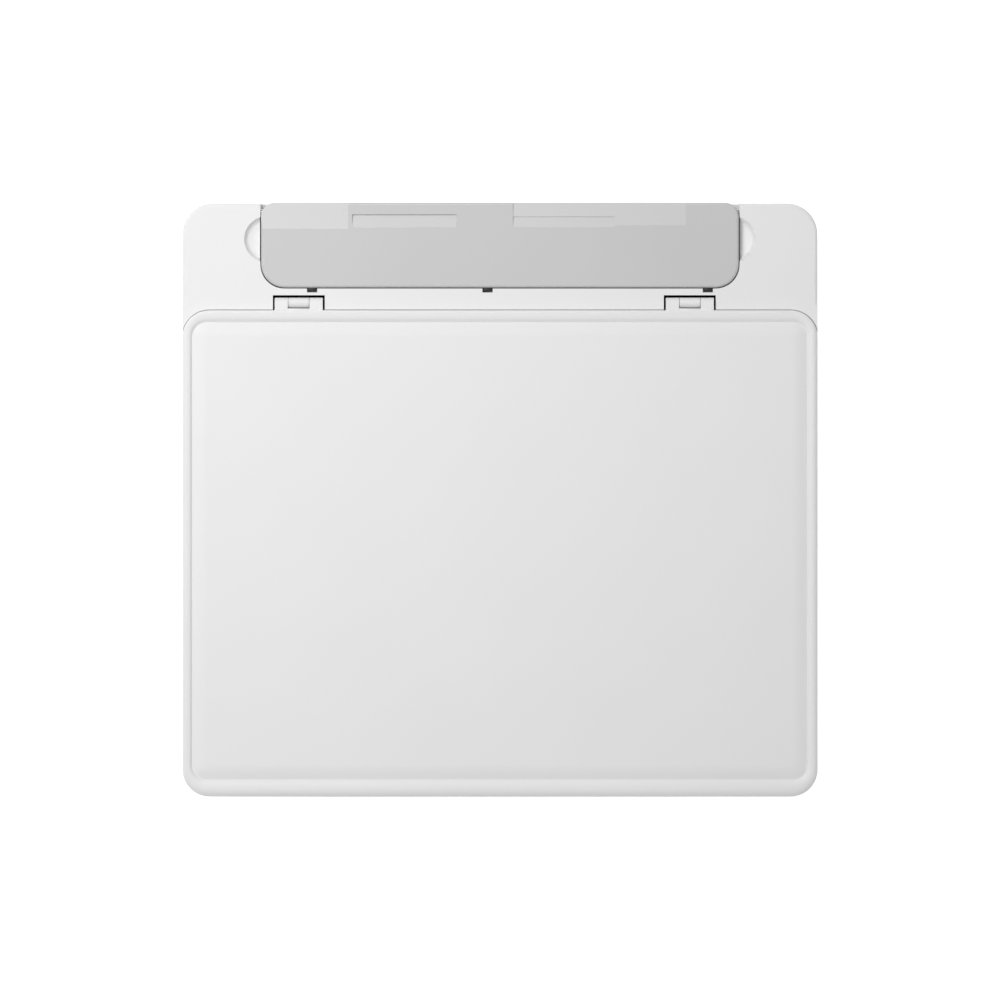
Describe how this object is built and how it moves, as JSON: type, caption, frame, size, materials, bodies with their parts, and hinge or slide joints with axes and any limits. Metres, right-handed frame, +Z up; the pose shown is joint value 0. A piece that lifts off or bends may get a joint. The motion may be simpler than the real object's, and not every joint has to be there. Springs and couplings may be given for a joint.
{
  "type": "inkjet printer",
  "caption": "Compact white all-in-one inkjet printer with a flatbed scanner under its lid, a fold-out rear sheet support, tilting front panel, output tray and paper cassette.",
  "frame": {"origin": "centre of the printer's footprint, on the surface its rubber feet stand on", "axes": "+Z up, +Y towards the back where sheets are loaded, -Y the front with the panel and trays, +X the right-hand side seen from the front"},
  "size_m": [0.372, 0.348, 0.142],
  "materials": {
    "white_shell": "fine textured",
    "gray_cover": "fine textured",
    "dark_plastic": "satin",
    "inner_gray": "satin",
    "button_plastic": "satin",
    "screen": "glossy",
    "scan_glass": "polished",
    "foam": "matt",
    "steel": "ground",
    "zinc_sheet": "satin",
    "rubber": "matt",
    "board": "solder mask",
    "supply": "matt",
    "ink_black": "satin",
    "ink_colour": "satin",
    "felt": "felt",
    "film": "polished"
  },
  "bodies": {
    "housing": {"base_tray": "white_shell", "carriage_rail": "steel", "case_screws": "steel", "chassis": "zinc_sheet", "drive_motors": "steel", "encoder_strip": "film", "ink_absorber": "felt", "main_board": "board", "main_case": "white_shell", "pivot_pins": "steel", "platen": "dark_plastic", "platen_glass": "scan_glass", "power_supply": "supply", "pressure_wheels": "dark_plastic", "purge_unit": "dark_plastic", "rear_housing": "white_shell", "rear_sockets": "dark_plastic", "rubber_feet": "rubber", "scan_rails": "steel", "scanner_base": "white_shell", "scanner_bezel": "white_shell", "sheet_ramp": "inner_gray", "timing_belts": "rubber"},
    "lid_hinge_posts": {"lid_hinges": "white_shell"},
    "lid": {"lid_shell": "white_shell", "lid_liner": "white_shell", "lid_pad": "foam"},
    "support": {"paper_support": "gray_cover", "support_extension": "gray_cover"},
    "left_sheet_guide": {"sheet_guide_left": "inner_gray"},
    "right_sheet_guide": {"sheet_guide_right": "inner_gray"},
    "pickup": {"pickup_roller": "rubber"},
    "cassette_arm": {"pickup_arm": "dark_plastic"},
    "feed": {"feed_roller": "rubber"},
    "pinion": {"feed_pinion": "steel"},
    "eject": {"eject_roller": "rubber"},
    "head_carriage": {"carriage": "dark_plastic", "print_head": "zinc_sheet"},
    "black_tank": {"ink_black": "ink_black"},
    "colour_tank": {"ink_colour": "ink_colour"},
    "pulley_right": {"motor_pulley": "steel"},
    "pulley_left": {"idler_pulley": "steel"},
    "wiper_blade": {"wiper": "dark_plastic"},
    "panel": {"operation_panel": "white_shell", "panel_screen": "screen", "button_board": "board"},
    "power_key": {"power_button": "button_plastic"},
    "stop_key": {"stop_button": "button_plastic"},
    "start_key": {"start_button": "button_plastic"},
    "select_key": {"select_button": "button_plastic"},
    "front_door": {"output_door": "white_shell"},
    "output": {"output_tray": "inner_gray"},
    "output_stop": {"tray_extension": "inner_gray"},
    "drawer": {"cassette": "inner_gray"},
    "drawer_guide_left": {"cassette_guide_left": "inner_gray"},
    "drawer_guide_right": {"cassette_guide_right": "inner_gray"},
    "drawer_end_guide": {"cassette_end_guide": "inner_gray"},
    "scan_bar": {"scan_sensor": "dark_plastic"},
    "scan_gear": {"scan_pinion": "steel"},
    "rear_cover": {"transport_cover": "white_shell"}
  },
  "joints": [
    {"name": "lid_lift", "type": "slide", "parent": "housing", "child": "lid_hinge_posts", "axis": [0, 0, 1], "range_m": [0, 0.018]},
    {"name": "lid_swing", "type": "hinge", "parent": "lid_hinge_posts", "child": "lid", "pos_m": [0, 0.1152, 0.1386], "axis": [-1, 0, 0], "range_deg": [0, 85]},
    {"name": "support_swing", "type": "hinge", "parent": "housing", "child": "support", "pos_m": [0, 0.1686, 0.1344], "axis": [-1, 0, 0], "range_deg": [0, 110]},
    {"name": "left_sheet_guide_slide", "type": "slide", "parent": "housing", "child": "left_sheet_guide", "axis": [1, 0, 0], "range_m": [0, 0.06]},
    {"name": "right_sheet_guide_slide", "type": "slide", "parent": "housing", "child": "right_sheet_guide", "axis": [-1, 0, 0], "range_m": [0, 0.06]},
    {"name": "pickup_spin", "type": "hinge", "parent": "housing", "child": "pickup", "pos_m": [0, 0.103, 0.063], "axis": [1, 0, 0], "continuous": true},
    {"name": "cassette_arm_swing", "type": "hinge", "parent": "housing", "child": "cassette_arm", "pos_m": [0, 0.07, 0.0346], "axis": [-1, 0, 0], "range_deg": [0, 25]},
    {"name": "feed_spin", "type": "hinge", "parent": "housing", "child": "feed", "pos_m": [0, 0.046, 0.055], "axis": [1, 0, 0], "continuous": true},
    {"name": "pinion_spin", "type": "hinge", "parent": "housing", "child": "pinion", "pos_m": [-0.15, 0.0635, 0.055], "axis": [1, 0, 0], "continuous": true},
    {"name": "eject_spin", "type": "hinge", "parent": "housing", "child": "eject", "pos_m": [0, -0.05, 0.055], "axis": [1, 0, 0], "continuous": true},
    {"name": "carriage_slide", "type": "slide", "parent": "housing", "child": "head_carriage", "axis": [-1, 0, 0], "range_m": [0, 0.224]},
    {"name": "black_tank_slide", "type": "slide", "parent": "head_carriage", "child": "black_tank", "axis": [0, -1, 0], "range_m": [0, 0.045]},
    {"name": "colour_tank_slide", "type": "slide", "parent": "head_carriage", "child": "colour_tank", "axis": [0, -1, 0], "range_m": [0, 0.045]},
    {"name": "pulley_right_spin", "type": "hinge", "parent": "housing", "child": "pulley_right", "pos_m": [0.146, 0.053, 0.078], "axis": [0, 1, 0], "range_deg": [0, 2160]},
    {"name": "pulley_left_spin", "type": "hinge", "parent": "housing", "child": "pulley_left", "pos_m": [-0.146, 0.053, 0.078], "axis": [0, 1, 0], "range_deg": [0, 2160]},
    {"name": "wiper_slide", "type": "slide", "parent": "housing", "child": "wiper_blade", "axis": [0, 1, 0], "range_m": [0, 0.02]},
    {"name": "panel_tilt", "type": "hinge", "parent": "housing", "child": "panel", "pos_m": [0, -0.17, 0.122], "axis": [-1, 0, 0], "range_deg": [0, 45]},
    {"name": "power_key_press", "type": "slide", "parent": "panel", "child": "power_key", "axis": [0, 1, 0], "range_m": [0, 0.0008], "stiffness_N_per_m": 300},
    {"name": "stop_key_press", "type": "slide", "parent": "panel", "child": "stop_key", "axis": [0, 1, 0], "range_m": [0, 0.0008], "stiffness_N_per_m": 300},
    {"name": "start_key_press", "type": "slide", "parent": "panel", "child": "start_key", "axis": [0, 1, 0], "range_m": [0, 0.0008], "stiffness_N_per_m": 300},
    {"name": "select_key_press", "type": "slide", "parent": "panel", "child": "select_key", "axis": [0, 1, 0], "range_m": [0, 0.0008], "stiffness_N_per_m": 300},
    {"name": "front_door_swing", "type": "hinge", "parent": "housing", "child": "front_door", "pos_m": [0, -0.1695, 0.047], "axis": [1, 0, 0], "range_deg": [0, 85]},
    {"name": "output_slide", "type": "slide", "parent": "housing", "child": "output", "axis": [0, -1, 0], "range_m": [0, 0.11]},
    {"name": "output_stop_slide", "type": "slide", "parent": "output", "child": "output_stop", "axis": [0, -1, 0], "range_m": [0, 0.07]},
    {"name": "drawer_slide", "type": "slide", "parent": "housing", "child": "drawer", "axis": [0, -1, 0], "range_m": [0, 0.18]},
    {"name": "drawer_guide_left_slide", "type": "slide", "parent": "drawer", "child": "drawer_guide_left", "axis": [1, 0, 0], "range_m": [0, 0.045]},
    {"name": "drawer_guide_right_slide", "type": "slide", "parent": "drawer", "child": "drawer_guide_right", "axis": [-1, 0, 0], "range_m": [0, 0.045]},
    {"name": "drawer_end_guide_slide", "type": "slide", "parent": "drawer", "child": "drawer_end_guide", "axis": [0, -1, 0], "range_m": [0, 0.06]},
    {"name": "scan_bar_slide", "type": "slide", "parent": "housing", "child": "scan_bar", "axis": [1, 0, 0], "range_m": [0, 0.284]},
    {"name": "scan_gear_spin", "type": "hinge", "parent": "scan_bar", "child": "scan_gear", "pos_m": [-0.142, -0.009, 0.1101], "axis": [0, 1, 0], "range_deg": [0, 3260]},
    {"name": "rear_cover_swing", "type": "hinge", "parent": "housing", "child": "rear_cover", "pos_m": [0, 0.1715, 0.053], "axis": [-1, 0, 0], "range_deg": [0, 80]}
  ],
  "couplings": [
    {"joint": "right_sheet_guide_slide", "follows": "left_sheet_guide_slide", "ratio": 1},
    {"joint": "drawer_guide_right_slide", "follows": "drawer_guide_left_slide", "ratio": 1},
    {"joint": "pinion_spin", "follows": "feed_spin", "ratio": -2.48},
    {"joint": "eject_spin", "follows": "feed_spin", "ratio": 1},
    {"joint": "pulley_right_spin", "follows": "carriage_slide", "rad_per_m": 166.67},
    {"joint": "pulley_left_spin", "follows": "carriage_slide", "rad_per_m": 166.67},
    {"joint": "scan_gear_spin", "follows": "scan_bar_slide", "rad_per_m": 200}
  ]
}
